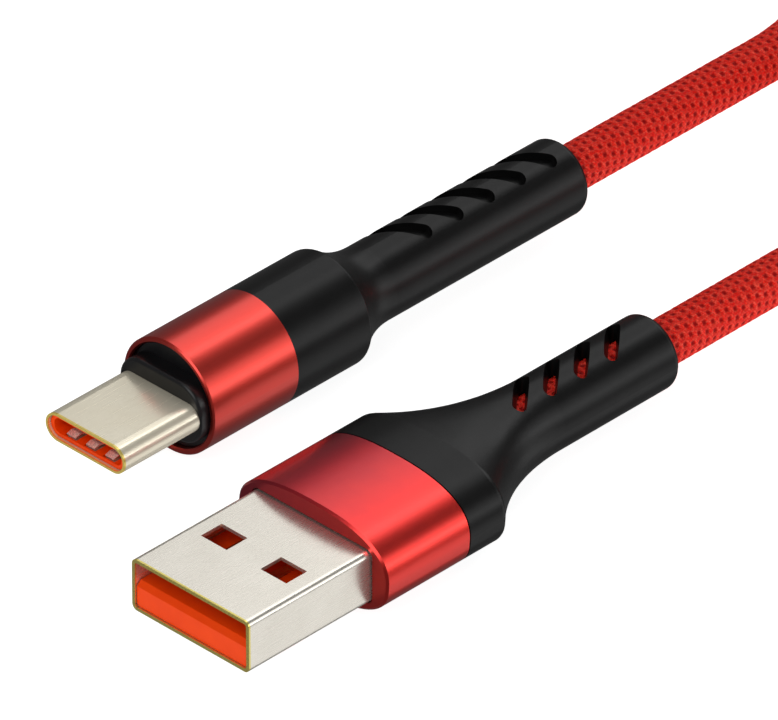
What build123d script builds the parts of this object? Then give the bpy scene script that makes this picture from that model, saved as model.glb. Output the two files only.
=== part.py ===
from build123d import *
import math
import os

# A charging cable: a type A plug and a type C plug on one braided cord, lying side by side.
# Millimetres. +Y runs from the plug tips towards the cord, +Z is up, and both plugs lie on Z = 0.
# The origin is under the middle of the two plugs. "Behind" means further along +Y.

# ------------------------------------------------------------------ driving dimensions

# the pair
plug_spacing = 20.3            # between the two plug axes
tip_stagger = 9.35             # the type C tip stands this far behind the type A tip
running_gap = 0.05             # between pieces that are fitted into each other

# cord
cord_diameter = 3.8
cord_length = 1000.0           # from crimp to crimp
wire_radius = 0.35
wire_count = 4
crimp_length = 3.2
crimp_wall = 0.45

# type A plug, measured back from its tip
a_shell_width = 12.0
a_shell_height = 4.5
a_shell_wall = 0.3
a_shell_corner = 0.5
a_shell_length = 16.5
a_window_width = 2.65
a_window_length = 2.15
a_window_x = 3.05
a_window_y = 6.55
a_tongue_front = 0.15
a_tongue_height = 2.1
a_tongue_chamfer = 0.4
a_block_front = 11.0
a_block_back = 16.3
a_contact_x = (-3.5, -1.0, 1.0, 3.5)
a_contact_width = 1.0
a_contact_thickness = 0.15
a_contact_front = 2.1
a_contact_back = 17.8
a_board_width = 9.5
a_board_thickness = 0.8
a_board_back = 21.6
a_collar_half_width = 7.7
a_collar_half_height = 3.9
a_collar_exponent = 2.5        # of the superellipse that the collar follows
a_collar_front = 12.55
a_collar_back = 21.25
a_collar_wall = 0.5
a_collar_face = 0.8            # thickness of the collar's front wall
a_shoulder_back = 24.9
a_flare_back = 36.0
a_boot_radius = 3.08
a_boot_back = 48.4
a_slot_places = (34.43, 37.66, 40.9, 44.13)
a_slot_length = 5.0
a_slot_width = 1.25
a_slot_angle = 48.0            # of the slots to the plug's cross direction
a_slot_draft = 14.0
a_slot_floor = 1.2             # height over the axis that the slots are cut down to
a_cord_front = 25.3

# type C plug, measured back from its tip
c_shell_width = 8.25
c_shell_height = 2.4
c_shell_wall = 0.2
c_shell_length = 11.1
c_insulator_front = 0.3
c_insulator_back = 9.0
c_mouth_width = 7.0             # of the cavity's wider front part
c_mouth_height = 1.3
c_mouth_back = 2.4
c_cavity_width = 6.8
c_cavity_height = 1.0
c_cavity_depth = 7.3
c_contact_count = 12
c_contact_pitch = 0.5
c_contact_width = 0.25
c_contact_thickness = 0.12
c_contact_tip = 4.1
c_contact_root = 7.5
c_tail_front = 7.6
c_tail_back = 10.4
c_finger_x = 2.0
c_finger_width = 0.9
c_finger_tip = 0.55
c_finger_root = 3.25
c_latch_front = 2.4
c_latch_root = 8.3
c_board_front = 9.1
c_board_back = 17.5
c_board_width = 6.4
c_board_thickness = 1.0
c_boss_width = 8.5
c_boss_height = 5.2
c_boss_corner = 2.2
c_boss_front = 7.75
c_cap_front = 9.15
c_cap_back = 11.2
c_collar_radius = 4.775
c_collar_wall = 0.475
c_collar_front = 8.65
c_collar_back = 17.5
c_shoulder_back = 25.2
c_flare_back = 29.6
c_boot_radius = 3.15
c_boot_back = 50.4
c_slot_places = (33.27, 36.62, 39.97, 43.32, 46.67)
c_slot_length = 5.26
c_slot_width = 1.3
c_slot_shift = 0.46            # of the slots towards -X, where they run out
c_slot_angle = 39.0            # of the slots to the plug's cross direction
c_slot_foot = 1.2              # height over the axis where the slots run out at the side
c_slot_floor_radius = 2.5      # their floors are round, about the plug's axis
c_cord_front = 20.7
c_mould_back = 24.0

# put-away cord: a flat hank of four turns, two side by side in each of two layers
hank_fold_radius = 3 * cord_diameter
hank_near_fold = 100.5         # centre of its near folds, behind the type A tip
inner_fold_shift = 2.5         # the turn that changes layer folds this much sooner
tie_thickness = 0.9
tie_width = 14.0

# ------------------------------------------------------------------ places that follow from them

pair_width = a_collar_half_width + plug_spacing + c_collar_radius
pair_length = tip_stagger + c_boot_back
type_a = Vector(pair_width / 2 - a_collar_half_width, -pair_length / 2, a_collar_half_height)
type_c = Vector(type_a.X - plug_spacing, type_a.Y + tip_stagger, c_collar_radius)

cord_radius = cord_diameter / 2
bore_radius = cord_radius + running_gap
crimp_radius = cord_radius + crimp_wall
wire_places = [place - (wire_count - 1) / 2 for place in range(wire_count)]

tongue_floor = running_gap - a_shell_height / 2 + a_shell_wall
tongue_top = tongue_floor + a_tongue_height
contact_bed = tongue_top - a_contact_thickness

outer_lane = hank_fold_radius + cord_diameter
hank_x = (type_a.X + type_c.X) / 2
near_fold_y = type_a.Y + hank_near_fold
hank_floor = tie_thickness + running_gap
lower_lane_z = hank_floor + cord_radius
upper_lane_z = lower_lane_z + cord_diameter


# ------------------------------------------------------------------ planes and outlines

def across(tip, y):
    """The plane across a plug, y behind its tip: local x is +X, local y is up.

    It faces the tip, so a negative extrusion runs back towards the cord.
    """
    return Plane(origin=(tip.X, tip.Y + y, tip.Z), x_dir=(1, 0, 0), z_dir=(0, -1, 0))


def level(tip, z):
    """The level plane z over a plug's axis: local x is +X, local y runs back from the tip."""
    return Plane(origin=(tip.X, tip.Y, tip.Z + z), x_dir=(1, 0, 0), z_dir=(0, 0, 1))


def lengthwise(tip, x=0):
    """The upright plane along a plug: local x runs back from the tip, local y is up."""
    return Plane(origin=(tip.X + x, tip.Y, tip.Z), x_dir=(0, 1, 0), z_dir=(1, 0, 0))


def axis_of(tip):
    return Axis((tip.X, tip.Y, tip.Z), (0, 1, 0))


def superellipse(plane, half_width, half_height, exponent):
    """A pillow-shaped face: exponent 2 is an ellipse, and more is squarer."""
    steps = 32
    points = []
    for step in range(steps):
        angle = 2 * math.pi * step / steps
        across_part = math.copysign(abs(math.cos(angle)) ** (2 / exponent), math.cos(angle))
        up_part = math.copysign(abs(math.sin(angle)) ** (2 / exponent), math.sin(angle))
        points.append((half_width * across_part, half_height * up_part))
    with BuildSketch(plane) as outline:
        with BuildLine():
            Spline(*points, periodic=True)
        make_face()
    return outline.sketch


def disc(plane, radius):
    with BuildSketch(plane) as outline:
        Circle(radius)
    return outline.sketch


def rounded(plane, width, height, corner):
    with BuildSketch(plane) as outline:
        RectangleRounded(width, height, corner)
    return outline.sketch


def stadium(plane, width, height):
    with BuildSketch(plane) as outline:
        SlotOverall(width, height)
    return outline.sketch


def strip(plane, points, thickness):
    """A bent strip of even thickness seen from its edge, along a line of points."""
    with BuildSketch(plane) as outline:
        with BuildLine() as middle:
            Polyline(*points)
        trace(middle.line, thickness)
    return outline.sketch


def flare_offset(drop, length, remaining):
    """How far an arc that meets a straight barrel smoothly stands off it.

    The arc falls by drop over length, and remaining is the distance still to go.
    """
    arc_radius = (length ** 2 + drop ** 2) / (2 * drop)
    return arc_radius - math.sqrt(arc_radius ** 2 - remaining ** 2)


# ------------------------------------------------------------------ pieces that both plugs have

def make_shield(tip, front, back, width, height, upper):
    """One half of the folded sheet can behind a plug's shell, open in front."""
    sheet = 0.2
    corner = 0.5
    seam = 0.04
    wire_hole_width = 3.2
    with BuildPart() as shield:
        extrude(rounded(across(tip, front), width, height, corner), amount=front - back)
        hollow = rounded(across(tip, front), width - 2 * sheet, height - 2 * sheet, corner - sheet)
        extrude(hollow, amount=front - back + sheet, mode=Mode.SUBTRACT)
        wire_hole = rounded(across(tip, front), wire_hole_width, height - 3 * sheet, corner - sheet)
        extrude(wire_hole, amount=front - back, mode=Mode.SUBTRACT)
        if upper:
            split(bisect_by=level(tip, seam / 2), keep=Keep.TOP)
        else:
            split(bisect_by=level(tip, -seam / 2), keep=Keep.BOTTOM)
    return shield


def make_crimp(tip, front):
    """The ferrule that grips the braid, with three pressed rings round it."""
    groove_depth = 0.15
    groove_width = 0.4
    with BuildPart() as crimp:
        with BuildSketch(across(tip, front)):
            Circle(crimp_radius)
            Circle(cord_radius + running_gap / 2, mode=Mode.SUBTRACT)
        extrude(amount=-crimp_length)
        for share in (0.25, 0.5, 0.75):
            with BuildSketch(across(tip, front + share * crimp_length)):
                Circle(crimp_radius + groove_depth)
                Circle(crimp_radius - groove_depth, mode=Mode.SUBTRACT)
            extrude(amount=groove_width / 2, both=True, mode=Mode.SUBTRACT)
    return crimp


def make_wires(tip, height, board_back, cord_front, board_pitch):
    """The four insulated wires from the board's pads, gathered into the end of the cord."""
    pad_length = 1.6
    straight_length = 0.7
    cord_pitch = 2 * wire_radius + running_gap
    bend_radius = 1.0
    with BuildPart() as wires:
        for place in wire_places:
            with BuildLine(level(tip, height)) as path:
                FilletPolyline(
                    (place * board_pitch, board_back - pad_length),
                    (place * board_pitch, board_back),
                    (place * cord_pitch, cord_front - straight_length),
                    (place * cord_pitch, cord_front),
                    radius=bend_radius,
                )
            with BuildSketch(Plane(path.line @ 0, z_dir=path.line % 0)):
                Circle(wire_radius)
            sweep()
    return wires


# ------------------------------------------------------------------ type A plug

with BuildPart() as type_a_shell:
    extrude(rounded(across(type_a, 0), a_shell_width, a_shell_height, a_shell_corner),
            amount=-a_shell_length)
    extrude(rounded(across(type_a, 0), a_shell_width - 2 * a_shell_wall,
                    a_shell_height - 2 * a_shell_wall, a_shell_corner - a_shell_wall),
            amount=-a_shell_length, mode=Mode.SUBTRACT)
    # two latch windows through the top wall and two through the bottom wall
    with BuildSketch(level(type_a, 0)):
        with Locations((0, a_window_y)):
            with GridLocations(2 * a_window_x, 0, 2, 1):
                Rectangle(a_window_width, a_window_length)
    extrude(amount=a_shell_height, both=True, mode=Mode.SUBTRACT)


def contact_bars(back):
    """The four contact strips in their bed, as faces across the plug to be extruded."""
    with BuildSketch(across(type_a, a_contact_front)) as outline:
        with Locations(*[(x, contact_bed + a_contact_thickness / 2) for x in a_contact_x]):
            Rectangle(a_contact_width, a_contact_thickness)
    return extrude(outline.sketch, amount=a_contact_front - back, mode=Mode.PRIVATE)


with BuildPart() as type_a_tongue:
    tongue_width = a_shell_width - 2 * a_shell_wall - 2 * running_gap
    with BuildSketch(across(type_a, a_tongue_front)):
        with Locations((0, tongue_floor + a_tongue_height / 2)):
            Rectangle(tongue_width, a_tongue_height)
    extrude(amount=a_tongue_front - a_block_front)
    nose_edge = type_a_tongue.edges().filter_by(Axis.X).group_by(Axis.Y)[0].sort_by(Axis.Z)[-1]
    chamfer(nose_edge, length=a_tongue_chamfer)
    # the block behind the tongue fills the shell
    with BuildSketch(across(type_a, a_block_front)):
        Rectangle(tongue_width, -2 * tongue_floor)
    extrude(amount=a_block_front - a_block_back)
    fillet(type_a_tongue.edges().filter_by(Axis.Y).group_by(Axis.Z)[0], radius=a_shell_corner - 0.2)
    fillet(type_a_tongue.edges().filter_by(Axis.Y).group_by(Axis.Z)[-1], radius=a_shell_corner - 0.2)
    add(contact_bars(a_contact_back), mode=Mode.SUBTRACT)

with BuildPart() as type_a_contacts:
    add(contact_bars(a_contact_back))

with BuildPart() as type_a_circuit_board:
    board_front = a_block_back + 2 * running_gap
    with BuildSketch(across(type_a, board_front)):
        with Locations((0, contact_bed - a_board_thickness / 2)):
            Rectangle(a_board_width, a_board_thickness)
    extrude(amount=board_front - a_board_back)

with BuildPart() as type_a_resistor:
    with BuildSketch(level(type_a, contact_bed)):
        with Locations((2.2, 18.9)):
            Rectangle(1.6, 0.8)
    extrude(amount=0.45)

a_shield_front = a_shell_length + running_gap
a_shield_back = a_shoulder_back
a_shield_width = 11.6
a_shield_height = 4.2
type_a_shield_upper = make_shield(
    type_a, a_shield_front, a_shield_back, a_shield_width, a_shield_height, True)
type_a_shield_lower = make_shield(
    type_a, a_shield_front, a_shield_back, a_shield_width, a_shield_height, False)

# the plain moulding that locks the shell and the shield together inside the collar
with BuildPart() as type_a_inner_mould:
    mould_front = a_collar_front + a_collar_face + running_gap
    mould_back = a_shoulder_back
    shield_pocket_corner = 0.4
    extrude(superellipse(across(type_a, mould_front),
                         a_collar_half_width - a_collar_wall - running_gap,
                         a_collar_half_height - a_collar_wall - running_gap,
                         a_collar_exponent),
            amount=mould_front - mould_back)
    extrude(rounded(across(type_a, mould_front), a_shell_width + running_gap,
                    a_shell_height + running_gap, a_shell_corner + running_gap / 2),
            amount=mould_front - a_shield_front, mode=Mode.SUBTRACT)
    extrude(rounded(across(type_a, a_shield_front), a_shield_width + running_gap,
                    a_shield_height + running_gap, shield_pocket_corner),
            amount=a_shield_front - mould_back, mode=Mode.SUBTRACT)

with BuildPart() as type_a_collar:
    mouth_gap = 0.15
    extrude(superellipse(across(type_a, a_collar_front), a_collar_half_width,
                         a_collar_half_height, a_collar_exponent),
            amount=a_collar_front - a_collar_back)
    chamfer(type_a_collar.edges().group_by(Axis.Y)[0], length=0.18)
    chamfer(type_a_collar.edges().group_by(Axis.Y)[-1], length=0.12)
    extrude(superellipse(across(type_a, a_collar_front + a_collar_face),
                         a_collar_half_width - a_collar_wall,
                         a_collar_half_height - a_collar_wall, a_collar_exponent),
            amount=a_collar_front + a_collar_face - a_collar_back, mode=Mode.SUBTRACT)
    extrude(rounded(across(type_a, a_collar_front), a_shell_width + 2 * mouth_gap,
                    a_shell_height + 2 * mouth_gap, a_shell_corner + mouth_gap),
            amount=-a_collar_face, mode=Mode.SUBTRACT)

type_a_crimp = make_crimp(type_a, a_cord_front + running_gap)
type_a_wires = make_wires(type_a, contact_bed + wire_radius, a_board_back, a_cord_front, 2.2)


def boot_section(y):
    """The type A boot's section in its flare, from the collar's pillow to the round barrel."""
    length = a_flare_back - a_shoulder_back
    remaining = a_flare_back - y
    share = remaining / length
    half_width = a_boot_radius + flare_offset(a_collar_half_width - a_boot_radius, length, remaining)
    half_height = a_boot_radius + flare_offset(a_collar_half_height - a_boot_radius, length, remaining)
    exponent = 2 + (a_collar_exponent - 2) * share
    return superellipse(across(type_a, y), half_width, half_height, exponent)


with BuildPart() as type_a_boot:
    barrel = superellipse(across(type_a, a_flare_back), a_boot_radius, a_boot_radius, 2)
    extrude(boot_section(a_shoulder_back), amount=a_shoulder_back - a_collar_back, dir=(0, -1, 0))
    flare_length = a_flare_back - a_shoulder_back
    flare_stations = [a_shoulder_back + flare_length * share for share in (0, 0.15, 0.35, 0.6, 0.8)]
    loft([boot_section(y) for y in flare_stations] + [barrel])
    extrude(barrel, amount=a_flare_back - a_boot_back)
    shoulder_y = type_a.Y + a_shoulder_back
    fillet(type_a_boot.edges().filter_by_position(Axis.Y, shoulder_y - 0.01, shoulder_y + 0.01),
           radius=0.7)
    fillet(type_a_boot.edges().group_by(Axis.Y)[-1], radius=0.6)
    # the cavity that the inner mould fills, and the bore for the crimp and the cord
    extrude(superellipse(across(type_a, a_collar_back), a_collar_half_width - a_collar_wall,
                         a_collar_half_height - a_collar_wall, a_collar_exponent),
            amount=a_collar_back - a_shoulder_back - running_gap, mode=Mode.SUBTRACT)
    extrude(disc(across(type_a, a_shoulder_back), crimp_radius + running_gap),
            amount=a_shoulder_back - a_cord_front - crimp_length - 2 * running_gap,
            mode=Mode.SUBTRACT)
    extrude(disc(across(type_a, a_shoulder_back), bore_radius),
            amount=a_shoulder_back - a_boot_back, mode=Mode.SUBTRACT)
    # slots through to the cord, above and below, that let the boot bend
    slot_top = a_boot_radius + 0.2
    for side in (1, -1):
        with BuildSketch(level(type_a, side * slot_top)):
            with Locations(*[(0, y) for y in a_slot_places]):
                SlotOverall(a_slot_length, a_slot_width, rotation=-side * a_slot_angle)
        extrude(amount=side * (a_slot_floor - slot_top), taper=a_slot_draft, mode=Mode.SUBTRACT)

# ------------------------------------------------------------------ type C plug

with BuildPart() as type_c_shell:
    extrude(stadium(across(type_c, 0), c_shell_width, c_shell_height), amount=-c_shell_length)
    extrude(stadium(across(type_c, 0), c_shell_width - 2 * c_shell_wall,
                    c_shell_height - 2 * c_shell_wall),
            amount=-c_shell_length, mode=Mode.SUBTRACT)

c_wall_clearance = c_shell_wall + running_gap
c_finger_places = (-c_finger_x, 0, c_finger_x)

with BuildPart() as type_c_insulator:
    window_width = 1.2
    window_front = 0.45
    window_back = 3.0
    groove_front = 2.9
    groove_length = 0.5
    groove_floor = 0.7
    slot_front = 3.7
    slot_clearance = 0.035
    latch_slot_front = 1.9
    latch_slot_back = 8.6
    latch_slot_height = 0.7
    extrude(stadium(across(type_c, c_insulator_front), c_shell_width - 2 * c_wall_clearance,
                    c_shell_height - 2 * c_wall_clearance),
            amount=c_insulator_front - c_insulator_back)
    extrude(rounded(across(type_c, c_insulator_front), c_cavity_width, c_cavity_height, 0.35),
            amount=c_insulator_front - c_cavity_depth, mode=Mode.SUBTRACT)
    extrude(rounded(across(type_c, c_insulator_front), c_mouth_width, c_mouth_height, 0.55),
            amount=c_insulator_front - c_mouth_back, mode=Mode.SUBTRACT)
    # windows for the ground springs, with a groove outside for the bar that joins them
    with BuildSketch(level(type_c, 0)):
        with Locations(*[(x, (window_front + window_back) / 2) for x in c_finger_places]):
            Rectangle(window_width, window_back - window_front)
    extrude(amount=c_shell_height, both=True, mode=Mode.SUBTRACT)
    for side in (1, -1):
        with BuildSketch(level(type_c, side * groove_floor)):
            with Locations((0, groove_front + groove_length / 2)):
                Rectangle(2 * c_finger_x + window_width, groove_length)
        extrude(amount=side * c_shell_height, mode=Mode.SUBTRACT)
    # one slot for each contact beam
    with BuildSketch(level(type_c, 0)):
        with Locations((0, (slot_front + c_tail_front) / 2)):
            with GridLocations(c_contact_pitch, 0, c_contact_count, 1):
                Rectangle(c_contact_width + 2 * slot_clearance, c_tail_front - slot_front)
    extrude(amount=c_shell_height, both=True, mode=Mode.SUBTRACT)
    # channels for the fixed tails, and side slots for the two latches
    with BuildSketch(across(type_c, c_tail_front)):
        with GridLocations(c_contact_pitch, c_board_thickness + c_contact_thickness,
                           c_contact_count, 2):
            Rectangle(c_contact_width, c_contact_thickness)
    extrude(amount=c_tail_front - c_insulator_back, mode=Mode.SUBTRACT)
    with BuildSketch(across(type_c, latch_slot_front)):
        with GridLocations(c_shell_width, 0, 2, 1):
            Rectangle(c_shell_width - c_cavity_width + 0.2, latch_slot_height)
    extrude(amount=latch_slot_front - latch_slot_back, mode=Mode.SUBTRACT)

contact_z = (c_board_thickness + c_contact_thickness) / 2


def make_contact_row(side):
    """The twelve spring beams of one row: they dip into the cavity near their tips."""
    with BuildPart() as row:
        beam = strip(lengthwise(type_c, -c_contact_width / 2),
                     [(c_contact_root, side * contact_z),
                      (c_contact_tip + 0.75, side * (contact_z - 0.14)),
                      (c_contact_tip, side * (contact_z - 0.01))],
                     c_contact_thickness)
        with BuildPart(mode=Mode.PRIVATE) as one_beam:
            extrude(beam, amount=c_contact_width)
        with GridLocations(c_contact_pitch, 0, c_contact_count, 1):
            add(one_beam.part)
    return row


type_c_contacts_upper = make_contact_row(1)
type_c_contacts_lower = make_contact_row(-1)

# the fixed ends of the contacts, soldered to both faces of the board
with BuildPart() as type_c_contact_tails:
    with BuildSketch(across(type_c, c_tail_front)):
        with GridLocations(c_contact_pitch, c_board_thickness + c_contact_thickness,
                           c_contact_count, 2):
            Rectangle(c_contact_width, c_contact_thickness)
    extrude(amount=c_tail_front - c_tail_back)


def make_ground_springs(side):
    """Three grounding fingers on one bar, their knees just inside the cavity."""
    bar_z = 0.84
    bar_length = 0.25
    knee_z = 0.43
    with BuildPart() as springs:
        finger = strip(lengthwise(type_c, -c_finger_width / 2),
                       [(c_finger_root, side * bar_z),
                        (c_finger_tip + 0.5, side * knee_z),
                        (c_finger_tip, side * (knee_z + 0.14))],
                       c_contact_thickness)
        with BuildPart(mode=Mode.PRIVATE) as one_finger:
            extrude(finger, amount=c_finger_width)
        with Locations(*[(x, 0, 0) for x in c_finger_places]):
            add(one_finger.part)
        with BuildSketch(across(type_c, c_finger_root)):
            with Locations((0, side * bar_z)):
                Rectangle(2 * c_finger_x + c_finger_width, c_contact_thickness)
        extrude(amount=bar_length)
    return springs


type_c_ground_springs_upper = make_ground_springs(1)
type_c_ground_springs_lower = make_ground_springs(-1)


def make_latch(side):
    """A side latch: a flat arm with a hook that catches in the socket it is pushed into."""
    arm_middle = 3.52
    arm_thickness = 0.2
    arm_height = 0.5
    hook_reach = 0.3
    hook_length = 0.9
    inner = side * (arm_middle - arm_thickness / 2)
    outer = side * (arm_middle + arm_thickness / 2)
    hook = inner - side * hook_reach
    with BuildPart() as latch:
        with BuildSketch(level(type_c, 0)):
            with BuildLine():
                Polyline(
                    (outer, c_latch_root),
                    (outer, c_latch_front),
                    (inner, c_latch_front),
                    (hook, c_latch_front + hook_length / 2),
                    (inner, c_latch_front + hook_length),
                    (inner, c_latch_root),
                    close=True,
                )
            make_face()
        extrude(amount=arm_height / 2, both=True)
    return latch


type_c_latch_left = make_latch(-1)
type_c_latch_right = make_latch(1)

with BuildPart() as type_c_circuit_board:
    with BuildSketch(across(type_c, c_board_front)):
        Rectangle(c_board_width, c_board_thickness)
    extrude(amount=c_board_front - c_board_back)

with BuildPart() as type_c_chip:
    with BuildSketch(level(type_c, c_board_thickness / 2)):
        with Locations((0, 12.8)):
            Rectangle(2.2, 2.2)
    extrude(amount=0.5)

c_shield_front = c_cap_back + 2 * running_gap
c_shield_back = c_cord_front - running_gap
c_shield_width = 7.3
c_shield_height = 3.0
type_c_shield_upper = make_shield(
    type_c, c_shield_front, c_shield_back, c_shield_width, c_shield_height, True)
type_c_shield_lower = make_shield(
    type_c, c_shield_front, c_shield_back, c_shield_width, c_shield_height, False)

c_bore = c_collar_radius - c_collar_wall

# the black moulding round the shell, seen inside the collar's mouth
with BuildPart() as type_c_front_cap:
    extrude(rounded(across(type_c, c_boss_front), c_boss_width, c_boss_height, c_boss_corner),
            amount=c_boss_front - c_cap_front)
    fillet(type_c_front_cap.edges().group_by(Axis.Y)[0], radius=0.25)
    extrude(disc(across(type_c, c_cap_front), c_bore - running_gap), amount=c_cap_front - c_cap_back)
    extrude(stadium(across(type_c, c_boss_front), c_shell_width + running_gap,
                    c_shell_height + running_gap),
            amount=c_boss_front - c_cap_back, mode=Mode.SUBTRACT)

with BuildPart() as type_c_inner_mould:
    mould_front = c_cap_back + running_gap
    extrude(disc(across(type_c, mould_front), c_bore - running_gap),
            amount=mould_front - c_mould_back)
    extrude(rounded(across(type_c, mould_front), c_shield_width + running_gap,
                    c_shield_height + running_gap, shield_pocket_corner),
            amount=mould_front - c_cord_front, mode=Mode.SUBTRACT)
    extrude(disc(across(type_c, c_cord_front), crimp_radius + running_gap),
            amount=c_cord_front - c_mould_back, mode=Mode.SUBTRACT)

with BuildPart() as type_c_collar:
    with BuildSketch(across(type_c, c_collar_front)):
        Circle(c_collar_radius)
        Circle(c_bore, mode=Mode.SUBTRACT)
    extrude(amount=c_collar_front - c_collar_back)
    chamfer(type_c_collar.edges().group_by(Axis.Y)[0], length=0.12)

type_c_crimp = make_crimp(type_c, c_cord_front + running_gap)
type_c_wires = make_wires(
    type_c, c_board_thickness / 2 + wire_radius, c_board_back, c_cord_front, 1.6)

with BuildPart() as type_c_boot:
    with BuildSketch(lengthwise(type_c)):
        with BuildLine():
            Polyline((c_flare_back, c_boot_radius), (c_boot_back, c_boot_radius),
                     (c_boot_back, 0), (c_collar_back, 0), (c_collar_back, c_collar_radius),
                     (c_shoulder_back, c_collar_radius))
            TangentArc((c_flare_back, c_boot_radius), (c_shoulder_back, c_collar_radius),
                       tangent=(-1, 0))
        make_face()
    revolve(axis=axis_of(type_c))
    rings = type_c_boot.edges().filter_by(GeomType.CIRCLE).group_by(Axis.Y)
    fillet(rings[1], radius=0.35)
    fillet(rings[-1], radius=0.6)
    extrude(disc(across(type_c, c_collar_back), c_bore),
            amount=c_collar_back - c_mould_back - running_gap, mode=Mode.SUBTRACT)
    extrude(disc(across(type_c, c_collar_back), bore_radius),
            amount=c_collar_back - c_boot_back, mode=Mode.SUBTRACT)
    # blind slots above and below, open at one side and rounded at the other
    with BuildPart(mode=Mode.PRIVATE) as slots:
        for side in (1, -1):
            with BuildSketch(level(type_c, side * c_slot_foot)):
                with Locations(*[(-c_slot_shift, y) for y in c_slot_places]):
                    SlotOverall(c_slot_length, c_slot_width, rotation=side * c_slot_angle)
            extrude(amount=side * c_boot_radius)
        extrude(disc(across(type_c, c_shoulder_back), c_slot_floor_radius),
                amount=c_shoulder_back - c_boot_back, mode=Mode.SUBTRACT)
    add(slots.part, mode=Mode.SUBTRACT)

# ------------------------------------------------------------------ cord

def corner_radii(points):
    """The largest arc that each corner's two runs leave room for."""
    radii = []
    for before, corner, after in zip(points, points[1:], points[2:]):
        incoming = Vector(corner) - Vector(before)
        outgoing = Vector(after) - Vector(corner)
        half_turn = math.radians(incoming.get_angle(outgoing)) / 2
        radii.append(0.45 * min(incoming.length, outgoing.length) / math.tan(half_turn))
    return radii


def make_cord(name, points):
    """A plain tube along straight runs joined by tangent arcs."""
    radii = corner_radii(points)
    with BuildPart() as tube:
        with BuildLine() as path:
            FilletPolyline(*points, radius=radii)
        with BuildSketch(Plane(path.line @ 0, z_dir=path.line % 0)):
            Circle(cord_radius)
        sweep()
    length = path.wire().length
    section_times_length = math.pi * cord_radius ** 2 * length
    print(name, "radii", [round(radius, 1) for radius in radii], "length", round(length, 1),
          "volume over section times length", round(tube.part.volume / section_times_length, 4))
    return tube, length


# The cord is straight from each plug, then eases out to the hank's outer lanes:
# from the type C plug up over the near folds to the upper lane on the left, ...
route_to_c = [
    (type_c.X, type_c.Y + c_cord_front, type_c.Z),
    (type_c.X, type_c.Y + 76.9, type_c.Z),
    (type_c.X - 2.8, type_c.Y + 85.3, type_c.Z + 1.7),
    (hank_x - outer_lane, type_c.Y + 93.4, upper_lane_z),
]
# ... and from the type A plug down to the floor and to the lower lane on the right.
route_to_a = [
    (type_a.X, type_a.Y + a_cord_front, type_a.Z),
    (type_a.X, type_a.Y + 67.5, type_a.Z),
    (type_a.X + 1.7, type_a.Y + 78.0, 2.1),
    (type_a.X + 4.3, type_a.Y + 89.2, 1.95),
    (hank_x + outer_lane, near_fold_y, lower_lane_z),
]
cable_to_type_c, length_to_c = make_cord("cable_to_type_c", route_to_c)
cable_to_type_a, length_to_a = make_cord("cable_to_type_a", route_to_a)

# What is left of the cord's length fills the hank. Its four turns have four far folds, three
# near folds, and eight straight runs between them.
far_folds = 2 * math.pi * (hank_fold_radius + outer_lane)
near_folds = 2 * math.pi * (hank_fold_radius + outer_lane) / 2 + math.pi * hank_fold_radius
hank_run = (cord_length - length_to_a - length_to_c - far_folds - near_folds
            + 2 * inner_fold_shift) / 8
hank_middle = near_fold_y + hank_run / 2
print("hank run", round(hank_run, 2), "in diameters", round(hank_run / cord_diameter, 1))

with BuildPart() as cable_hank:
    with BuildSketch(Plane.XY.offset(hank_floor)):
        with Locations((hank_x, hank_middle)):
            SlotCenterToCenter(hank_run, 2 * (outer_lane + cord_radius), rotation=90)
            SlotCenterToCenter(hank_run, 2 * (hank_fold_radius - cord_radius), rotation=90,
                               mode=Mode.SUBTRACT)
    extrude(amount=2 * cord_diameter)
    fillet(cable_hank.edges().group_by(Axis.Z)[0], radius=1.2)
    fillet(cable_hank.edges().group_by(Axis.Z)[-1], radius=1.2)

# a strap wrapped flat round both sides of the hank
with BuildPart() as hank_tie:
    strap_inner_width = 2 * (outer_lane + cord_radius + running_gap)
    strap_inner_height = 2 * (cord_diameter + running_gap)
    strap_inner_corner = 1.1
    strap_middle = Vector(hank_x, hank_middle - tie_width / 2, tie_thickness + strap_inner_height / 2)
    extrude(rounded(across(strap_middle, 0), strap_inner_width + 2 * tie_thickness,
                    strap_inner_height + 2 * tie_thickness, strap_inner_corner + tie_thickness),
            amount=-tie_width)
    extrude(rounded(across(strap_middle, 0), strap_inner_width, strap_inner_height,
                    strap_inner_corner),
            amount=-tie_width, mode=Mode.SUBTRACT)

# ------------------------------------------------------------------ write the pieces

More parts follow.
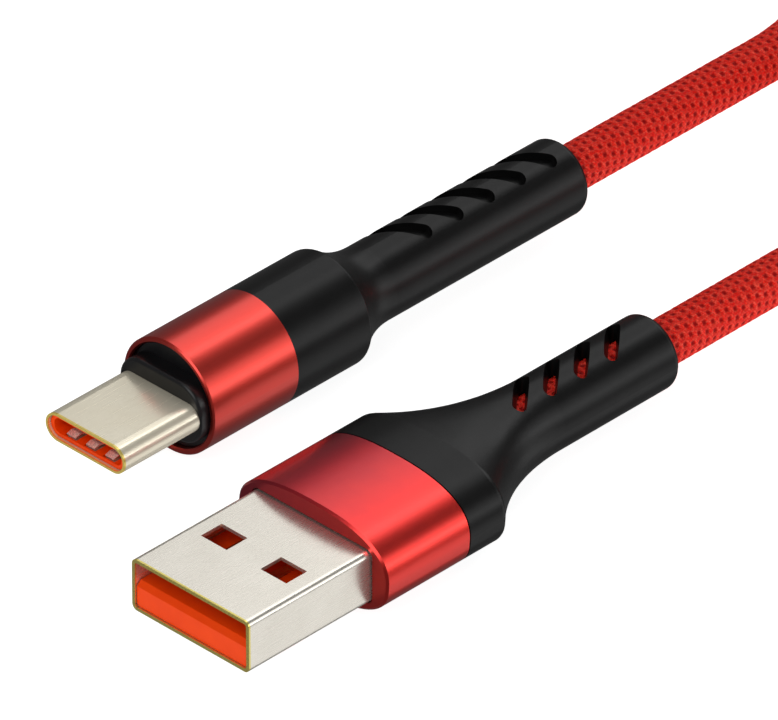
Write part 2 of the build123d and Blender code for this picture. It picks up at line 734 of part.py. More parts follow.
pieces = {
    "type_a_shell": type_a_shell,
    "type_a_tongue": type_a_tongue,
    "type_a_contacts": type_a_contacts,
    "type_a_circuit_board": type_a_circuit_board,
    "type_a_resistor": type_a_resistor,
    "type_a_shield_upper": type_a_shield_upper,
    "type_a_shield_lower": type_a_shield_lower,
    "type_a_inner_mould": type_a_inner_mould,
    "type_a_collar": type_a_collar,
    "type_a_crimp": type_a_crimp,
    "type_a_wires": type_a_wires,
    "type_a_boot": type_a_boot,
    "type_c_shell": type_c_shell,
    "type_c_insulator": type_c_insulator,
    "type_c_contacts_upper": type_c_contacts_upper,
    "type_c_contacts_lower": type_c_contacts_lower,
    "type_c_contact_tails": type_c_contact_tails,
    "type_c_ground_springs_upper": type_c_ground_springs_upper,
    "type_c_ground_springs_lower": type_c_ground_springs_lower,
    "type_c_latch_left": type_c_latch_left,
    "type_c_latch_right": type_c_latch_right,
    "type_c_circuit_board": type_c_circuit_board,
    "type_c_chip": type_c_chip,
    "type_c_shield_upper": type_c_shield_upper,
    "type_c_shield_lower": type_c_shield_lower,
    "type_c_front_cap": type_c_front_cap,
    "type_c_inner_mould": type_c_inner_mould,
    "type_c_collar": type_c_collar,
    "type_c_crimp": type_c_crimp,
    "type_c_wires": type_c_wires,
    "type_c_boot": type_c_boot,
    "cable_to_type_a": cable_to_type_a,
    "cable_to_type_c": cable_to_type_c,
    "cable_hank": cable_hank,
    "hank_tie": hank_tie,
}

os.makedirs("parts", exist_ok=True)
for name, piece in pieces.items():
    piece.part.label = name
    export_step(piece.part, f"parts/{name}.step")
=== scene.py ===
import math

import bmesh
import bpy
import numpy as np
from mathutils import Matrix, Vector


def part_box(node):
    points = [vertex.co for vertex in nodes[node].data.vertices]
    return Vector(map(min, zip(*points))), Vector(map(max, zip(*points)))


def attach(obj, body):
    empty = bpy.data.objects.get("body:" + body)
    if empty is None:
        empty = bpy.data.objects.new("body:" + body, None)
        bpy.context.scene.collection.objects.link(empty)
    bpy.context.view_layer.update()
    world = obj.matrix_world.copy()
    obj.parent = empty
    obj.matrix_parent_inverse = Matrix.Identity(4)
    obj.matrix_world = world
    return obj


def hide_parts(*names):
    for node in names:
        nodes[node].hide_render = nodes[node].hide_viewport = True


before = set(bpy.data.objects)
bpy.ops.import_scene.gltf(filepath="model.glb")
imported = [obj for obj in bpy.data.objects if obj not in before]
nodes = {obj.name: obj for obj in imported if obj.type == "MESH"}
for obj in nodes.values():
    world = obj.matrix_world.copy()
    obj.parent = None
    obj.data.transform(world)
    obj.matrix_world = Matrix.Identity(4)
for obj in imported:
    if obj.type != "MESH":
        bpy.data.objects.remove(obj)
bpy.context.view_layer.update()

# A charging cable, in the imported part's own frame: metres, +Y from the plug tips back along the cord, +Z up.
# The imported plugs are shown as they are, with materials; the cord and its tie are built here.

MM = 0.001
ROOT = "plugs_and_cord"


# ------------------------------------------------------------------ places taken from the frame

def tip_of(shell):
    """The middle of a plug shell's open end."""
    low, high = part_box(shell)
    return Vector(((low.x + high.x) / 2, low.y, (low.z + high.z) / 2))


TIP_A = tip_of("type_a_shell")
TIP_C = tip_of("type_c_shell")
CORD_A_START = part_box("cable_to_type_a")[0].y
CORD_C_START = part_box("cable_to_type_c")[0].y
HANK_LOW, HANK_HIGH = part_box("cable_hank")
TIE_LOW, TIE_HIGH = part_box("hank_tie")

CORD_DIAMETER = 3.8 * MM
CORD_RADIUS = CORD_DIAMETER / 2
INNER_LANE = 3 * CORD_DIAMETER             # radius of the hank's inner folds, at the cord's middle
OUTER_LANE = INNER_LANE + CORD_DIAMETER
HANK_X = (HANK_LOW.x + HANK_HIGH.x) / 2
NEAR_FOLD_Y = HANK_LOW.y + OUTER_LANE + CORD_RADIUS
FAR_FOLD_Y = HANK_HIGH.y - OUTER_LANE - CORD_RADIUS
LOWER_LANE_Z = HANK_LOW.z + CORD_RADIUS
UPPER_LANE_Z = LOWER_LANE_Z + CORD_DIAMETER
INNER_FOLD_SHIFT = 2.5 * MM


# ------------------------------------------------------------------ camera

def make_camera():
    """A long lens looking down on the plugs from in front and to their right, nearly without perspective."""
    distance = 1.2
    seen_width = 57.7 * MM
    azimuth = math.radians(44.44)
    elevation = math.radians(33.98)
    aim = Vector((-4.25, 3.88, 3.9)) * MM
    back = Vector((math.cos(elevation) * math.sin(azimuth), -math.cos(elevation) * math.cos(azimuth),
                   math.sin(elevation)))
    data = bpy.data.cameras.new("camera")
    data.sensor_width = 36.0
    data.lens = data.sensor_width * distance / seen_width
    data.clip_start = 0.05
    data.clip_end = 20.0
    camera = bpy.data.objects.new("camera", data)
    bpy.context.scene.collection.objects.link(camera)
    camera.location = aim + distance * back
    camera.rotation_euler = (-back).to_track_quat("-Z", "Y").to_euler()
    bpy.context.scene.camera = camera


make_camera()


# ------------------------------------------------------------------ the cord's line

def hank_sag(y):
    """How far the hank lies below its height under the tie: it rests on the floor away from the strap."""
    tie_middle = (TIE_LOW.y + TIE_HIGH.y) / 2
    away = (abs(y - tie_middle) - 9 * MM) / (16 * MM)
    share = min(max(away, 0.0), 1.0)
    return (LOWER_LANE_Z - CORD_RADIUS - 0.05 * MM) * share * share * (3 - 2 * share)


def fold_points(middle_y, side_in, radius_in, radius_out, z_in, z_out, stretch=0.0):
    """Control points of a half turn in six equal steps.

    It starts on the side side_in (-1 is left) and turns clockwise seen from above.
    middle_y is the fold's centre.
    """
    step = math.pi / 6
    points = []
    for number in range(6):
        turned = (number + 0.5) * step
        share = turned / math.pi
        radius = (radius_in + (radius_out - radius_in) * share) / math.cos(step / 2)
        x = HANK_X + side_in * radius * math.cos(turned)
        y = middle_y - side_in * (radius + stretch * math.sin(turned)) * math.sin(turned)
        z = z_in + (z_out - z_in) * share
        points.append((x, y, z - hank_sag(y)))
    return points


def run_points(side, lane, z, y_from, y_to):
    """Control points of one straight run: two a fold's step in from its ends, and two beside the tie."""
    inset = INNER_LANE * math.tan(math.pi / 12) * 2
    way = 1 if y_to > y_from else -1
    middle = (y_from + y_to) / 2
    places = (y_from + way * inset, middle - way * 11 * MM, middle + way * 11 * MM, y_to - way * inset)
    bows = (0.0, 0.12 * MM, -0.12 * MM, 0.0)
    points = []
    for y, bow in zip(places, bows):
        points.append((HANK_X + side * lane + bow, y, z - hank_sag(y)))
    return points


def hank_points():
    """Four turns: outer and inner lane of the upper layer, then inner and outer lane of the lower."""
    lanes = (OUTER_LANE, INNER_LANE, INNER_LANE, OUTER_LANE)
    heights = (UPPER_LANE_Z, UPPER_LANE_Z, LOWER_LANE_Z, LOWER_LANE_Z)
    near_folds = (0.0, INNER_FOLD_SHIFT, 0.0)
    far_shifts = (-0.3 * MM, -1.6 * MM, -0.9 * MM, -0.2 * MM)
    start_y = NEAR_FOLD_Y
    points = []
    for turn in range(4):
        lane, z = lanes[turn], heights[turn]
        far_y = FAR_FOLD_Y + far_shifts[turn]
        points += run_points(-1, lane, z, start_y, far_y)
        points += fold_points(far_y, -1, lane, lane, z, z)
        if turn == 3:
            end_y = NEAR_FOLD_Y
        else:
            end_y = NEAR_FOLD_Y + near_folds[turn]
        points += run_points(1, lane, z, far_y, end_y)
        if turn < 3:
            points += fold_points(end_y, 1, lane, lanes[turn + 1], z, heights[turn + 1])
        start_y = end_y
    return points


def cord_points():
    """The whole route, in the part's own points: type A crimp, hank, type C crimp."""
    to_a = [
        (TIP_A.x, CORD_A_START, TIP_A.z),
        (TIP_A.x, TIP_A.y + 56.9 * MM, TIP_A.z),
        (TIP_A.x, TIP_A.y + 67.5 * MM, TIP_A.z),
        (TIP_A.x + 1.7 * MM, TIP_A.y + 78.0 * MM, 2.1 * MM),
        (TIP_A.x + 4.3 * MM, TIP_A.y + 89.2 * MM, 1.95 * MM),
        (HANK_X + OUTER_LANE, NEAR_FOLD_Y, LOWER_LANE_Z - hank_sag(NEAR_FOLD_Y)),
    ]
    to_c = [
        (TIP_C.x, CORD_C_START, TIP_C.z),
        (TIP_C.x, TIP_C.y + 67.9 * MM, TIP_C.z),
        (TIP_C.x, TIP_C.y + 76.9 * MM, TIP_C.z),
        (TIP_C.x - 2.8 * MM, TIP_C.y + 85.3 * MM, TIP_C.z + 1.7 * MM),
        (HANK_X - OUTER_LANE, TIP_C.y + 93.4 * MM, UPPER_LANE_Z - hank_sag(NEAR_FOLD_Y)),
    ]
    return to_a + hank_points()[::-1] + to_c[::-1]


def read_line(points):
    """The smooth line that follows the control points, read back from a NURBS spline."""
    curve = bpy.data.curves.new("cord_line", "CURVE")
    curve.dimensions = "3D"
    curve.resolution_u = 24
    spline = curve.splines.new("NURBS")
    spline.points.add(len(points) - 1)
    for control, place in zip(spline.points, points):
        control.co = (*place, 1.0)
    spline.order_u = 3
    spline.use_endpoint_u = True
    holder = bpy.data.objects.new("cord_line", curve)
    bpy.context.scene.collection.objects.link(holder)
    bpy.context.view_layer.update()
    mesh = bpy.data.meshes.new_from_object(holder)
    line = np.array([vertex.co for vertex in mesh.vertices], float)
    bpy.data.objects.remove(holder)
    bpy.data.meshes.remove(mesh)
    return line


def resample(line, places):
    """Points of the line at the given distances along it."""
    steps = np.linalg.norm(np.diff(line, axis=0), axis=1)
    along = np.concatenate([[0.0], np.cumsum(steps)])
    return np.stack([np.interp(places, along, line[:, axis]) for axis in range(3)], axis=1)


cord_line = read_line(cord_points())
cord_measured = float(np.linalg.norm(np.diff(cord_line, axis=0), axis=1).sum())


# ------------------------------------------------------------------ the braided sleeve

BRAID_PITCH = 0.80 * MM        # of the eyelets along the cord
BRAID_COLUMNS = 16             # of the eyelets round it
BRAID_SLANT = -1 / 3           # of a column that each row of eyelets is turned by
EYELET_DEPTH = 0.10 * MM
EYELET_LENGTH = 0.24           # half length and half width, in rows and in columns
EYELET_WIDTH = 0.28
RING_POINTS = {"fine": 80, "coarse": 20}
FINE_FROM_A = 45 * MM          # of finely modelled sleeve at each plug
FINE_FROM_C = 58 * MM


def sunk_into_eyelets(row, columns):
    """How deep the sleeve lies at a place, from 0 on the yarn to 1 in the middle of an eyelet."""
    nearest_row = np.round(row)
    turned = columns - BRAID_SLANT * nearest_row
    off_row = (row - nearest_row) / EYELET_LENGTH
    off_column = (turned - np.round(turned)) / EYELET_WIDTH
    return np.exp(-(off_row ** 2 + off_column ** 2))


def carried_frames(centres):
    """Two directions across the line at each point, carried along it without twist."""
    tangents = np.gradient(centres, axis=0)
    tangents /= np.linalg.norm(tangents, axis=1)[:, None]
    sideways = np.zeros_like(centres)
    sideways[0] = np.cross(tangents[0], (0, 0, 1))
    for index in range(1, len(centres)):
        carried = sideways[index - 1] - tangents[index] * sideways[index - 1].dot(tangents[index])
        sideways[index] = carried / np.linalg.norm(carried)
    return sideways, np.cross(sideways, tangents)


def ring_stations(length):
    """Distances along the cord of the mesh's rings, and how finely each ring is divided."""
    fine_step = BRAID_PITCH / 5
    coarse_step = BRAID_PITCH
    first = np.arange(0.0, FINE_FROM_A, fine_step)
    last = length - np.arange(0.0, FINE_FROM_C, fine_step)[::-1]
    middle = np.linspace(first[-1], last[0], int((last[0] - first[-1]) / coarse_step))[1:-1]
    kinds = ["fine"] * len(first) + ["coarse"] * len(middle) + ["fine"] * len(last)
    return np.concatenate([first, middle, last]), kinds


def make_cord(line, length):
    """The sleeve as one tube, woven in relief at the plugs. Its UV map counts the eyelets."""
    stations, kinds = ring_stations(length)
    centres = resample(line, stations)
    sideways, upwards = carried_frames(centres)
    work = bmesh.new()
    weave = work.loops.layers.uv.new("weave")
    rings = []
    for index, kind in enumerate(kinds):
        share = np.arange(RING_POINTS[kind]) / RING_POINTS[kind]
        radii = np.full(len(share), CORD_RADIUS)
        if kind == "fine":
            radii -= EYELET_DEPTH * sunk_into_eyelets(stations[index] / BRAID_PITCH, share * BRAID_COLUMNS)
        across = np.cos(2 * math.pi * share)[:, None] * sideways[index]
        up = np.sin(2 * math.pi * share)[:, None] * upwards[index]
        rings.append([work.verts.new(place) for place in centres[index] + radii[:, None] * (across + up)])

    def add_face(corners):
        """corners are (vertex, ring number, share of the way round)."""
        face = work.faces.new([corner[0] for corner in corners])
        face.smooth = True
        for loop, (_, number, share) in zip(face.loops, corners):
            loop[weave].uv = (stations[number] / BRAID_PITCH, share * BRAID_COLUMNS)

    for index in range(len(rings) - 1):
        sectors = min(len(rings[index]), len(rings[index + 1]))
        for sector in range(sectors):
            near = sector_corners(rings[index], index, sector, sectors)
            far = sector_corners(rings[index + 1], index + 1, sector, sectors)
            add_face(near + far[::-1])
    for number in (0, len(rings) - 1):
        ring = rings[number]
        add_face([(vertex, number, place / len(ring)) for place, vertex in enumerate(ring)])
    bmesh.ops.recalc_face_normals(work, faces=work.faces)
    mesh = bpy.data.meshes.new("braided_cord")
    work.to_mesh(mesh)
    work.free()
    return link_piece("braided_cord", mesh)


def sector_corners(ring, number, sector, sectors):
    """The corners that one face takes from a ring: two, or more where the next ring is coarser."""
    per_sector = len(ring) // sectors
    places = range(sector * per_sector, (sector + 1) * per_sector + 1)
    return [(ring[place % len(ring)], number, place / len(ring)) for place in places]


def link_piece(name, mesh):
    piece = bpy.data.objects.new(name, mesh)
    bpy.context.scene.collection.objects.link(piece)
    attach(piece, ROOT)
    return piece


# ------------------------------------------------------------------ the strap round the hank

STRAP_THICKNESS = 0.75 * MM
STRAP_INSET = 0.1 * MM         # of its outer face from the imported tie's
STRAP_CORNER = 1.2 * MM
STRAP_CROWN = 0.12 * MM
STRAP_SIDE_STEPS = 12
STRAP_CORNER_STEPS = 6
STRAP_ACROSS_STEPS = 28
STRAP_OVERLAP = 10             # steps of its end that lie over its start
STRAP_RIB = 0.035 * MM
STRAP_EDGE_DROP = 0.18 * MM


def strap_loop():
    """Points and outward directions once round the hank, starting at the top on the left."""
    half_width = (TIE_HIGH.x - TIE_LOW.x) / 2 - STRAP_INSET - STRAP_THICKNESS
    half_height = (TIE_HIGH.z - TIE_LOW.z) / 2 - STRAP_INSET - STRAP_THICKNESS
    places, directions = [], []
    for turned in range(4):
        angle = math.pi / 2 - turned * math.pi / 2
        outward = Vector((math.cos(angle), math.sin(angle)))
        along = Vector((outward.y, -outward.x))
        reach = half_height if turned % 2 == 0 else half_width
        run = (half_width if turned % 2 == 0 else half_height) - STRAP_CORNER
        for step in range(STRAP_SIDE_STEPS + 1):
            share = -1 + 2 * step / STRAP_SIDE_STEPS
            crown = STRAP_CROWN * math.cos(share * math.pi / 2)
            places.append(outward * (reach + crown) + along * run * share)
            directions.append(outward)
        middle = outward * (reach - STRAP_CORNER) + along * run
        for step in range(1, STRAP_CORNER_STEPS):
            bend = angle - step * math.pi / 2 / STRAP_CORNER_STEPS
            direction = Vector((math.cos(bend), math.sin(bend)))
            places.append(middle + direction * STRAP_CORNER)
            directions.append(direction)
    return places, directions


def make_strap():
    """A hook and loop strap: once round the hank, its end lying over its start on top."""
    loop, outward = strap_loop()
    count = len(loop) + STRAP_OVERLAP
    middle_x = (TIE_LOW.x + TIE_HIGH.x) / 2
    middle_z = (TIE_LOW.z + TIE_HIGH.z) / 2
    length_y = TIE_HIGH.y - TIE_LOW.y
    mesh = bpy.data.meshes.new("strap")
    work = bmesh.new()
    grid = []
    for index in range(count):
        place, direction = loop[index % len(loop)], outward[index % len(loop)]
        lifted = min(max((index - len(loop) + 4) / 4, 0.0), 1.0)
        lift = STRAP_THICKNESS * 1.04 * lifted * lifted * (3 - 2 * lifted)
        end = max(index - (count - 4), 0) / 3
        narrowing = 0.12 * end * end
        row = []
        for step in range(STRAP_ACROSS_STEPS + 1):
            share = -1 + 2 * step / STRAP_ACROSS_STEPS
            rib = STRAP_RIB * math.cos(share * math.pi * STRAP_ACROSS_STEPS / 2)
            edge = -STRAP_EDGE_DROP * abs(share) ** 16
            at = place + direction * (lift + rib + edge)
            y = TIE_LOW.y + length_y / 2 + share * (1 - narrowing) * length_y / 2
            row.append(work.verts.new((middle_x + at.x, y, middle_z + at.y)))
        grid.append(row)
    weave = work.loops.layers.uv.new("weave")
    for index in range(count - 1):
        for step in range(STRAP_ACROSS_STEPS):
            corners = ((index, step), (index, step + 1), (index + 1, step + 1), (index + 1, step))
            face = work.faces.new([grid[a][b] for a, b in corners])
            face.smooth = True
            for loop_corner, (a, b) in zip(face.loops, corners):
                loop_corner[weave].uv = (a, b)
    bmesh.ops.recalc_face_normals(work, faces=work.faces)
    work.to_mesh(mesh)
    work.free()
    strap = link_piece("strap", mesh)
    thicken = strap.modifiers.new("thickness", "SOLIDIFY")
    thicken.thickness = STRAP_THICKNESS
    thicken.offset = 1.0
    thicken.use_even_offset = True
    return strap


cord = make_cord(cord_line, cord_measured)
strap = make_strap()
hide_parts("cable_to_type_a", "cable_to_type_c", "cable_hank")
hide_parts("hank_tie")


# ------------------------------------------------------------------ materials

class Recipe:
    """A node material in the making: its shader's fixed values, and short ways to add and join nodes."""

    def __init__(self, name, **fixed):
        self.material = bpy.data.materials.new(name)
        self.material.use_nodes = True
        self.tree = self.material.node_tree
        self.shader = self.tree.nodes["Principled BSDF"]
        for socket, value in fixed.items():
            self.shader.inputs[socket.replace("_", " ")].default_value = value
        self.place = self.add("ShaderNodeTexCoord").outputs["Object"]

    def add(self, kind, settings=None, **inputs):
        node = self.tree.nodes.new(kind)
        for attribute, value in (settings or {}).items():
            setattr(node, attribute, value)
        for key, value in inputs.items():
            socket = node.inputs[int(key[1:])] if key[0] == "i" and key[1:].isdigit() else node.inputs[key]
            if isinstance(value, bpy.types.NodeSocket):
                self.tree.links.new(value, socket)
            else:
                socket.default_value = value
        return node

    def math(self, operation, *values):
        inputs = {f"i{number}": value for number, value in enumerate(values)}
        return self.add("ShaderNodeMath", {"operation": operation}, **inputs).outputs[0]

    def noise(self, size, stretch=(1, 1, 1), detail=3.0, roughness=0.55):
        """Noise whose features are about size across, in metres, and longer along a stretched axis."""
        scale = tuple(1 / (size * factor) for factor in stretch)
        mapped = self.add("ShaderNodeMapping", Vector=self.place, Scale=scale).outputs[0]
        return self.add("ShaderNodeTexNoise", Vector=mapped, Scale=1.0, Detail=detail,
                        Roughness=roughness).outputs["Fac"]

    def between(self, factor, low, high):
        """A number that runs from low to high as the factor runs from 0.3 to 0.7."""
        return self.add("ShaderNodeMapRange", i0=factor, i1=0.3, i2=0.7, i3=low, i4=high).outputs[0]

    def mix(self, factor, first, second):
        """A colour between two others."""
        node = self.add("ShaderNodeMix", {"data_type": "RGBA"})
        for socket, value in ((node.inputs[0], factor), (node.inputs[6], first), (node.inputs[7], second)):
            if isinstance(value, bpy.types.NodeSocket):
                self.tree.links.new(value, socket)
            elif isinstance(value, tuple):
                socket.default_value = (*value, 1.0)
            else:
                socket.default_value = value
        return node.outputs[2]

    def shade(self, socket, value):
        self.tree.links.new(value, self.shader.inputs[socket])

    def relief(self, height, distance, strength=1.0):
        bump = self.add("ShaderNodeBump", Height=height, Distance=distance, Strength=strength)
        self.shade("Normal", bump.outputs[0])

    def row_axis(self, axis):
        return self.add("ShaderNodeSeparateXYZ", Vector=self.place).outputs[axis]

    def before(self, y):
        """1 where a point is nearer the tips than y, and 0 behind it."""
        return self.math("LESS_THAN", self.row_axis("Y"), y)


def plated_metal(name, tip_y, plate, shaded, lip, roughness, metallic):
    """Plated sheet, drawn lengthwise, with bare gold metal on its cut front edge."""
    recipe = Recipe(name, Metallic=metallic)
    cloud = recipe.between(recipe.noise(3 * MM), 0.0, 1.0)
    body = recipe.mix(cloud, plate, shaded)
    recipe.shade("Base Color", recipe.mix(recipe.before(tip_y + 0.16 * MM), body, lip))
    lines = recipe.noise(0.05 * MM, stretch=(1, 80, 1))
    recipe.shade("Roughness", recipe.between(lines, roughness - 0.03, roughness + 0.04))
    recipe.relief(lines, 0.0006 * MM)
    return recipe.material


def anodised_red(name, middle_x, half_width, first, last):
    """Fine blasted aluminium under a red anodised layer, with a painted reflection: its colour runs from first
    to last across the plug.
    """
    recipe = Recipe(name, Metallic=1.0, Coat_Weight=0.45, Coat_Roughness=0.22)
    # Painted reflection: the base colour runs from first on the -X side to last on the +X side, standing in
    # for the darker and brighter surroundings the collar's top would mirror; the cloud adds random tone.
    across = recipe.add("ShaderNodeMapRange", i0=recipe.row_axis("X"), i1=middle_x - half_width,
                        i2=middle_x + half_width, i3=0.0, i4=1.0).outputs[0]
    cloud = recipe.between(recipe.noise(2.5 * MM), -0.06, 0.06)
    recipe.shade("Base Color", recipe.mix(recipe.math("ADD", across, cloud), first, last))
    grain = recipe.noise(0.05 * MM, detail=2.0)
    recipe.shade("Roughness", recipe.between(grain, 0.30, 0.38))
    recipe.relief(grain, 0.003 * MM)
    return recipe.material


def moulded_plastic(name, first, second, roughness, grain_size, grain_depth, **fixed):
    """Moulded plastic or rubber: slight clouding in the colour and a fine tool texture."""
    recipe = Recipe(name, **fixed)
    cloud = recipe.between(recipe.noise(2.0 * MM), 0.0, 1.0)
    recipe.shade("Base Color", recipe.mix(cloud, first, second))
    grain = recipe.noise(grain_size, detail=4.0)
    recipe.shade("Roughness", recipe.between(grain, roughness - 0.05, roughness + 0.05))
    recipe.relief(grain, grain_depth)
    return recipe.material


def stamped_metal(name, first, second, roughness, stretch=(1, 12, 1), metallic=1.0):
    """Bare or plated stamped sheet with faint rolling lines."""
    recipe = Recipe(name, Metallic=metallic)
    cloud = recipe.between(recipe.noise(0.8 * MM), 0.0, 1.0)
    recipe.shade("Base Color", recipe.mix(cloud, first, second))
    lines = recipe.noise(0.04 * MM, stretch=stretch)
    recipe.shade("Roughness", recipe.between(lines, roughness - 0.05, roughness + 0.08))
    recipe.relief(lines, 0.002 * MM)
    return recipe.material


def solder_mask():
    """A green board: dark green mask, and paler lines where the tracks run."""
    recipe = Recipe("solder_mask", Coat_Weight=0.4, Coat_Roughness=0.12)
    tracks = recipe.add("ShaderNodeTexWave", {"bands_direction": "X"}, Vector=recipe.place, Scale=260.0,
                        Distortion=1.5, Detail=1.0).outputs["Fac"]
    on_track = recipe.math("GREATER_THAN", tracks, 0.6)
    recipe.shade("Base Color", recipe.mix(on_track, (0.01, 0.10, 0.04), (0.03, 0.22, 0.08)))
    recipe.shade("Roughness", recipe.between(recipe.noise(0.1 * MM), 0.28, 0.4))
    recipe.relief(on_track, 0.01 * MM)
    return recipe.material


def wire_insulation():
    """Four wires side by side: red, white, green and black insulation."""
    recipe = Recipe("wire_insulation")
    ramp = recipe.add("ShaderNodeValToRGB")
    ramp.color_ramp.interpolation = "CONSTANT"
    colours = ((0.0, (0.6, 0.02, 0.02, 1)), (0.25, (0.8, 0.8, 0.78, 1)), (0.5, (0.02, 0.3, 0.06, 1)),
               (0.75, (0.02, 0.02, 0.02, 1)))
    for number, (position, colour) in enumerate(colours):
        stop = ramp.color_ramp.elements[number] if number < 2 else ramp.color_ramp.elements.new(position)
        stop.position = position
        stop.color = colour
    spread = 3.7 * MM           # half the width over which the four colours are shared
    shares = []
    for tip in (TIP_A, TIP_C):
        offset = recipe.math("SUBTRACT", recipe.row_axis("X"), tip.x)
        shares.append(recipe.math("ADD", recipe.math("DIVIDE", offset, 2 * spread), 0.5))
    by_type_a = recipe.math("GREATER_THAN", recipe.row_axis("X"), HANK_X)
    chosen = recipe.add("ShaderNodeMix", {"data_type": "FLOAT"}, i0=by_type_a, i2=shares[1], i3=shares[0])
    recipe.tree.links.new(chosen.outputs[0], ramp.inputs[0])
    recipe.shade("Base Color", ramp.outputs[0])
    recipe.shade("Roughness", recipe.between(recipe.noise(0.2 * MM), 0.32, 0.42))
    return recipe.material


def red_braid():
    """Woven nylon: red yarns along the cord with fine threads in each yarn. Painted shade darkens the eyelets
    and the furrows between neighbouring yarns, and painted highlights lighten the yarn in patches.
    """
    recipe = Recipe("red_braid", Specular_IOR_Level=0.1)
    weave = recipe.add("ShaderNodeUVMap", {"uv_map": "weave"}).outputs[0]
    split = recipe.add("ShaderNodeSeparateXYZ", Vector=weave)
    row, column = split.outputs["X"], split.outputs["Y"]
    nearest_row = recipe.math("ROUND", row)
    off_row = recipe.math("DIVIDE", recipe.math("SUBTRACT", row, nearest_row), EYELET_LENGTH)
    turned = recipe.math("SUBTRACT", column, recipe.math("MULTIPLY", nearest_row, BRAID_SLANT))
    off_turned = recipe.math("SUBTRACT", turned, recipe.math("ROUND", turned))
    off_column = recipe.math("DIVIDE", off_turned, EYELET_WIDTH)
    away = recipe.math("ADD", recipe.math("POWER", off_row, 4.0), recipe.math("POWER", off_column, 4.0))
    eyelet = recipe.math("EXPONENT", recipe.math("MULTIPLY", away, -0.9))
    threads = recipe.math("SINE", recipe.math("MULTIPLY", turned, 2 * math.pi * 5))
    twist = recipe.math("SINE", recipe.math("ADD", recipe.math("MULTIPLY", row, 2 * math.pi * 3),
                                            recipe.math("MULTIPLY", column, 2 * math.pi * 2)))
    fibres = recipe.math("ADD", recipe.math("MULTIPLY", threads, 0.5), recipe.math("MULTIPLY", twist, 0.5))
    patchy = recipe.between(recipe.noise(0.5 * MM, detail=4.0), 0.0, 1.0)
    # Painted highlight: sparkle lightens the yarn to pink in patches, and also raises it in the relief.
    sparkle = recipe.add("ShaderNodeMapRange", i0=recipe.noise(0.15 * MM, stretch=(1, 2, 1)), i1=0.42,
                         i2=0.60, i3=0.0, i4=1.0).outputs[0]
    # Painted shade: the furrow between neighbouring yarns darkens the colour towards (0.60, 0.002, 0).
    furrow = recipe.math("COSINE", recipe.math("MULTIPLY", turned, 2 * math.pi))
    furrow_depth = recipe.add("ShaderNodeMapRange", i0=furrow, i1=0.2, i2=-1.0, i3=0.0, i4=0.6).outputs[0]
    yarn = recipe.mix(patchy, (0.90, 0.006, 0.002), (1.0, 0.024, 0.010))
    lit_yarn = recipe.mix(sparkle, yarn, (1.0, 0.085, 0.050))
    threaded = recipe.mix(recipe.between(fibres, 0.0, 0.6), lit_yarn, (0.50, 0.004, 0.003))
    furrowed = recipe.mix(furrow_depth, threaded, (0.60, 0.002, 0.0))
    # Painted shade: each eyelet is darkened to deep red, where shade falls into the gap between the yarns.
    recipe.shade("Base Color", recipe.mix(eyelet, furrowed, (0.32, 0.0, 0.0)))
    recipe.shade("Roughness", recipe.between(patchy, 0.42, 0.6))
    texture = recipe.math("ADD", recipe.math("MULTIPLY", fibres, 0.15),
                          recipe.math("MULTIPLY", sparkle, 0.35))
    height = recipe.math("SUBTRACT", texture, eyelet)
    recipe.relief(height, 0.09 * MM, strength=0.8)
    return recipe.material


def black_webbing():
    """Hook and loop webbing: ribs along its length, with a fine loop pile."""
    recipe = Recipe("black_webbing", Sheen_Weight=0.3, Sheen_Roughness=0.5)
    weave = recipe.add("ShaderNodeUVMap", {"uv_map": "weave"}).outputs[0]
    across = recipe.add("ShaderNodeSeparateXYZ", Vector=weave).outputs["Y"]
    ribs = recipe.math("SINE", recipe.math("MULTIPLY", across, 2 * math.pi))
    pile = recipe.noise(0.12 * MM, detail=5.0)
    tone = recipe.between(recipe.math("ADD", recipe.math("MULTIPLY", ribs, 0.15), pile), 0.0, 1.0)
    recipe.shade("Base Color", recipe.mix(tone, (0.006, 0.006, 0.007), (0.030, 0.030, 0.032)))
    recipe.shade("Roughness", recipe.between(pile, 0.7, 0.9))
    recipe.relief(tone, 0.12 * MM)
    return recipe.material


def dress(material, *pieces):
    for piece in pieces:
        piece.data.materials.clear()
        piece.data.materials.append(material)


def named(*names):
    return [nodes[name] for name in names]


dress(plated_metal("nickel_plate", TIP_A.y, (0.96, 0.915, 0.82), (0.91, 0.865, 0.77), (0.90, 0.76, 0.22),
                   roughness=0.27, metallic=0.85),
      nodes["type_a_shell"])
dress(plated_metal("champagne_plate", TIP_C.y, (1.0, 0.93, 0.75), (0.96, 0.885, 0.70), (0.88, 0.68, 0.17),
                   roughness=0.24, metallic=0.5),
      nodes["type_c_shell"])
# Painted reflection on both collars: the A collar runs from dark crimson on its left to bright red on its
# right, and the C collar is only slightly lighter towards its right.
dress(anodised_red("anodised_red_painted_reflection", TIP_A.x, 7.5 * MM, (0.52, 0.030, 0.062), (1.0, 0.048, 0.036)),
      nodes["type_a_collar"])
dress(anodised_red("anodised_red", TIP_C.x, 5.0 * MM, (0.76, 0.060, 0.050), (0.82, 0.060, 0.042)),
      nodes["type_c_collar"])
dress(moulded_plastic("satin_rubber", (0.003, 0.003, 0.003), (0.005, 0.005, 0.005), 0.34, 0.07 * MM,
                      0.003 * MM, Specular_IOR_Level=0.23), nodes["type_a_boot"], nodes["type_c_boot"])
dress(moulded_plastic("black_plastic", (0.005, 0.005, 0.006), (0.008, 0.008, 0.009), 0.36, 0.06 * MM,
                      0.003 * MM), nodes["type_c_front_cap"])
dress(moulded_plastic("orange_plastic", (1.0, 0.068, 0.0), (0.94, 0.058, 0.0), 0.38, 0.08 * MM,
                      0.002 * MM, Specular_IOR_Level=0.2), *named("type_a_tongue", "type_c_insulator"))
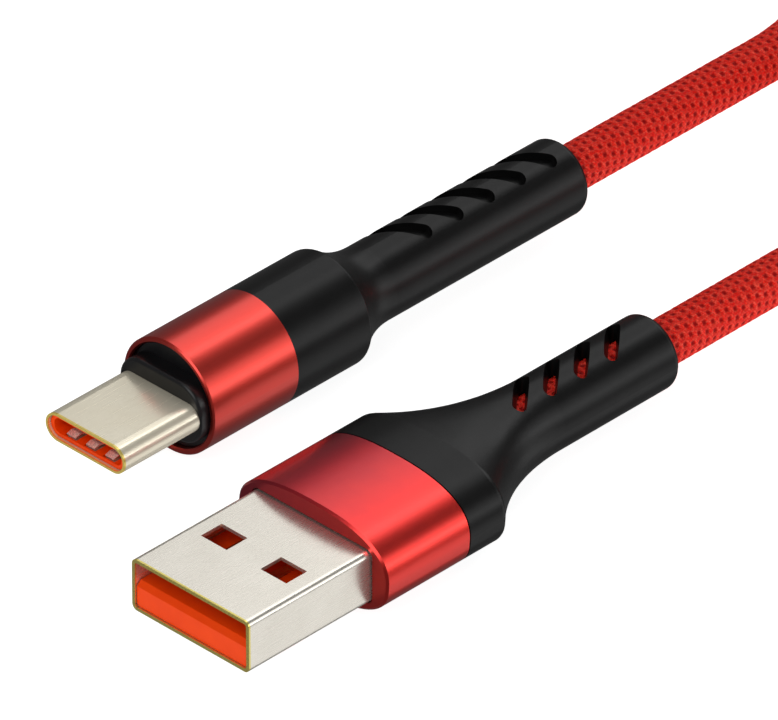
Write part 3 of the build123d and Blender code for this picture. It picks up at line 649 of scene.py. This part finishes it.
dress(moulded_plastic("chip_plastic", (0.015, 0.015, 0.016), (0.03, 0.03, 0.03), 0.6, 0.05 * MM, 0.006 * MM),
      *named("type_a_resistor", "type_c_chip"))
dress(moulded_plastic("natural_plastic", (0.78, 0.76, 0.70), (0.70, 0.68, 0.62), 0.5, 0.1 * MM, 0.004 * MM,
                      Subsurface_Weight=0.1), *named("type_a_inner_mould", "type_c_inner_mould"))
dress(stamped_metal("gold_contact", (0.95, 0.72, 0.42), (0.88, 0.62, 0.32), 0.22),
      *named("type_a_contacts", "type_c_contacts_upper", "type_c_contacts_lower", "type_c_contact_tails"))
dress(stamped_metal("bright_spring", (1.0, 0.90, 0.84), (0.95, 0.84, 0.76), 0.25, metallic=0.55),
      *named("type_c_ground_springs_upper", "type_c_ground_springs_lower"))
dress(stamped_metal("spring_steel", (0.62, 0.61, 0.60), (0.50, 0.49, 0.48), 0.3),
      *named("type_c_latch_left", "type_c_latch_right"))
dress(stamped_metal("tinned_sheet", (0.68, 0.68, 0.68), (0.55, 0.55, 0.56), 0.35, stretch=(12, 1, 1)),
      *named("type_a_shield_upper", "type_a_shield_lower", "type_c_shield_upper", "type_c_shield_lower"))
dress(stamped_metal("crimp_metal", (0.72, 0.71, 0.70), (0.58, 0.57, 0.56), 0.3, stretch=(8, 1, 8)),
      *named("type_a_crimp", "type_c_crimp"))
dress(solder_mask(), *named("type_a_circuit_board", "type_c_circuit_board"))
dress(wire_insulation(), *named("type_a_wires", "type_c_wires"))
dress(red_braid(), cord)
dress(black_webbing(), strap)


# ------------------------------------------------------------------ floor and lights

STUDIO = Vector((-1.5, -5.0, 4.0)) * MM    # between the plugs, where every light points
STRIP_DISTANCE = 0.45
STRIP_LENGTH = 0.5
STRIP_CONE = (0.806, 0.592)     # of mirrored directions: its reach across the cord, and along it


def make_floor():
    """A pale, faintly glowing floor that the plugs don't mirror and that lets light up from below."""
    bpy.ops.mesh.primitive_plane_add(size=6.0, location=(0, 0, -0.1 * MM))
    floor = bpy.context.object
    floor.name = "floor"
    material = bpy.data.materials.new("floor")
    material.use_nodes = True
    shader = material.node_tree.nodes["Principled BSDF"]
    shader.inputs["Base Color"].default_value = (0.5, 0.5, 0.5, 1)
    shader.inputs["Roughness"].default_value = 1.0
    shader.inputs["Specular IOR Level"].default_value = 0.0
    shader.inputs["Emission Color"].default_value = (1, 1, 1, 1)
    shader.inputs["Emission Strength"].default_value = 0.92
    floor.data.materials.append(material)
    floor.visible_glossy = False
    floor.visible_shadow = False


def add_softbox(name, direction, distance, size, radiance, turned_to):
    """An even rectangular light that faces the plugs. turned_to is the direction of its first side."""
    data = bpy.data.lights.new(name, "AREA")
    data.shape = "RECTANGLE"
    data.size, data.size_y = size
    data.energy = radiance * math.pi * size[0] * size[1]
    light = bpy.data.objects.new(name, data)
    bpy.context.scene.collection.objects.link(light)
    facing = Vector(direction).normalized()
    first = (Vector(turned_to) - facing * Vector(turned_to).dot(facing)).normalized()
    axes = Matrix((first, facing.cross(first), facing)).transposed().to_4x4()
    light.matrix_world = Matrix.Translation(STUDIO + facing * distance) @ axes


def add_strip(name, mirrored, width, radiance):
    """A strip light behind the plugs, or below the floor, mirrored by their round sides.

    mirrored and width are angles round the cord's direction, from straight up towards +X, in degrees.
    """
    reach, onward = STRIP_CONE
    angle = math.radians(mirrored)
    direction = (reach * math.sin(angle), onward, reach * math.cos(angle))
    sideways = (math.cos(angle), 0, -math.sin(angle))
    across = 2 * reach * STRIP_DISTANCE * math.tan(math.radians(width / 2))
    add_softbox(name, direction, STRIP_DISTANCE, (across, STRIP_LENGTH), radiance, sideways)


make_floor()
add_strip("upper_strip", -20, 54, 1.05)
add_strip("upper_core", -1, 13, 1.3)
add_strip("side_strip", 74, 40, 1.0)
add_strip("side_core", 79, 13, 1.3)
add_strip("low_strip", 130, 40, 0.66)
add_softbox("front_fill", (0.15, -0.75, 0.75), 0.6, (0.5, 0.5), 2.0, (1, 0, 0))
world = bpy.data.worlds.new("studio")
bpy.context.scene.world = world
world.use_nodes = True
world.node_tree.nodes["Background"].inputs["Color"].default_value = (1, 1, 1, 1)
world.node_tree.nodes["Background"].inputs["Strength"].default_value = 0.12
bpy.context.scene.view_settings.view_transform = "Standard"
